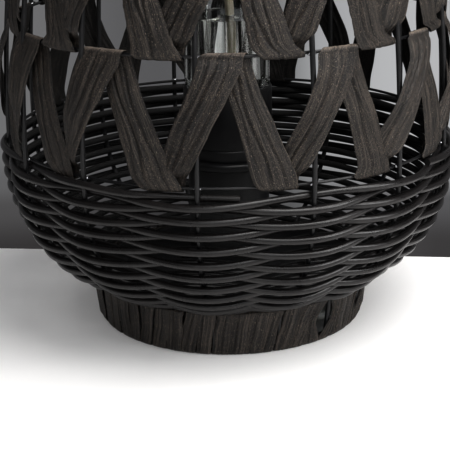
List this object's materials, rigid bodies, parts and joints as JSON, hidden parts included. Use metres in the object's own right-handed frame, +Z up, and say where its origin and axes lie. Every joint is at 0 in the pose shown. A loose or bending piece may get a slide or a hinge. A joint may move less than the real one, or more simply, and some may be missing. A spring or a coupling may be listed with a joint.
{
  "type": "woven table torch",
  "caption": "Round woven basket torch on a wrapped foot: cane bowl, zigzag raffia tiers on wire rings, and a lift-out glass lamp-oil jar with wick, burner cap and snuffer on a pedestal.",
  "frame": {"origin": "centre of the foot's bottom face, on the surface it stands on", "axes": "+Z up along the basket's axis, front towards -Y"},
  "size_m": [0.3963, 0.3949, 0.4735],
  "materials": {
    "cane": "satin charcoal resin cane",
    "black_steel": "black powder coat",
    "raffia": "dyed dark brown-grey raffia ribbon with lengthwise fibres",
    "glass": "clear",
    "lamp_oil": "clear liquid",
    "rubber": "matt black",
    "wick_fibre": "undyed fibre",
    "burner_metal": "satin black"
  },
  "bodies": {
    "basket": {"stake_01": "black_steel", "stake_02": "black_steel", "stake_03": "black_steel", "stake_04": "black_steel", "stake_05": "black_steel", "stake_06": "black_steel", "stake_07": "black_steel", "stake_08": "black_steel", "stake_09": "black_steel", "stake_10": "black_steel", "stake_11": "black_steel", "stake_12": "black_steel", "stake_13": "black_steel", "stake_14": "black_steel", "weave_strand_01": "cane", "weave_strand_02": "cane", "weave_strand_03": "cane", "weave_strand_04": "cane", "weave_strand_05": "cane", "weave_strand_06": "cane", "weave_strand_07": "cane", "weave_strand_08": "cane", "weave_strand_09": "cane", "weave_strand_10": "cane", "weave_strand_11": "cane", "weave_strand_12": "cane", "weave_strand_13": "cane", "weave_strand_14": "cane", "weave_strand_15": "cane", "weave_strand_16": "cane", "weave_strand_17": "cane", "weave_strand_18": "cane", "weave_strand_19": "cane", "weave_strand_20": "cane", "foot_ring_bottom": "black_steel", "foot_ring_top": "black_steel", "ring_lower": "black_steel", "ring_middle": "black_steel", "ring_upper": "black_steel", "ring_rim": "black_steel", "raffia_lower": "raffia", "raffia_middle": "raffia", "raffia_upper": "raffia", "foot_wrap": "raffia", "base_plate": "black_steel", "pedestal_tube": "black_steel", "pedestal_collar": "black_steel", "jar_holder": "black_steel", "plate_screw_1": "burner_metal", "plate_screw_2": "burner_metal", "plate_screw_3": "burner_metal"},
    "jar": {"fuel_jar": "glass", "lamp_oil": "lamp_oil"},
    "gasket": {"jar_gasket": "rubber"},
    "burner": {"burner_cap": "burner_metal", "wick_tube": "burner_metal"},
    "wick": {"wick": "wick_fibre"},
    "snuffer": {"snuffer_cap": "burner_metal", "snuffer_knob": "burner_metal"}
  },
  "joints": [
    {"name": "jar_lift", "type": "slide", "parent": "basket", "child": "jar", "axis": [0, 0, 1], "range_m": [0, 0.28]},
    {"name": "cap_rise", "type": "slide", "parent": "jar", "child": "gasket", "axis": [0, 0, 1], "range_m": [0, 0.0041]},
    {"name": "cap_turn", "type": "hinge", "parent": "gasket", "child": "burner", "pos_m": [0, 0, 0.3375], "axis": [0, 0, 1], "range_deg": [0, 450]},
    {"name": "wick_raise", "type": "slide", "parent": "burner", "child": "wick", "axis": [0, 0, 1], "range_m": [-0.004, 0.01]},
    {"name": "snuffer_lift", "type": "slide", "parent": "burner", "child": "snuffer", "axis": [0, 0, 1], "range_m": [0, 0.06]}
  ],
  "couplings": [
    {"joint": "cap_rise", "follows": "cap_turn", "m_per_rad": 0.0005093}
  ]
}
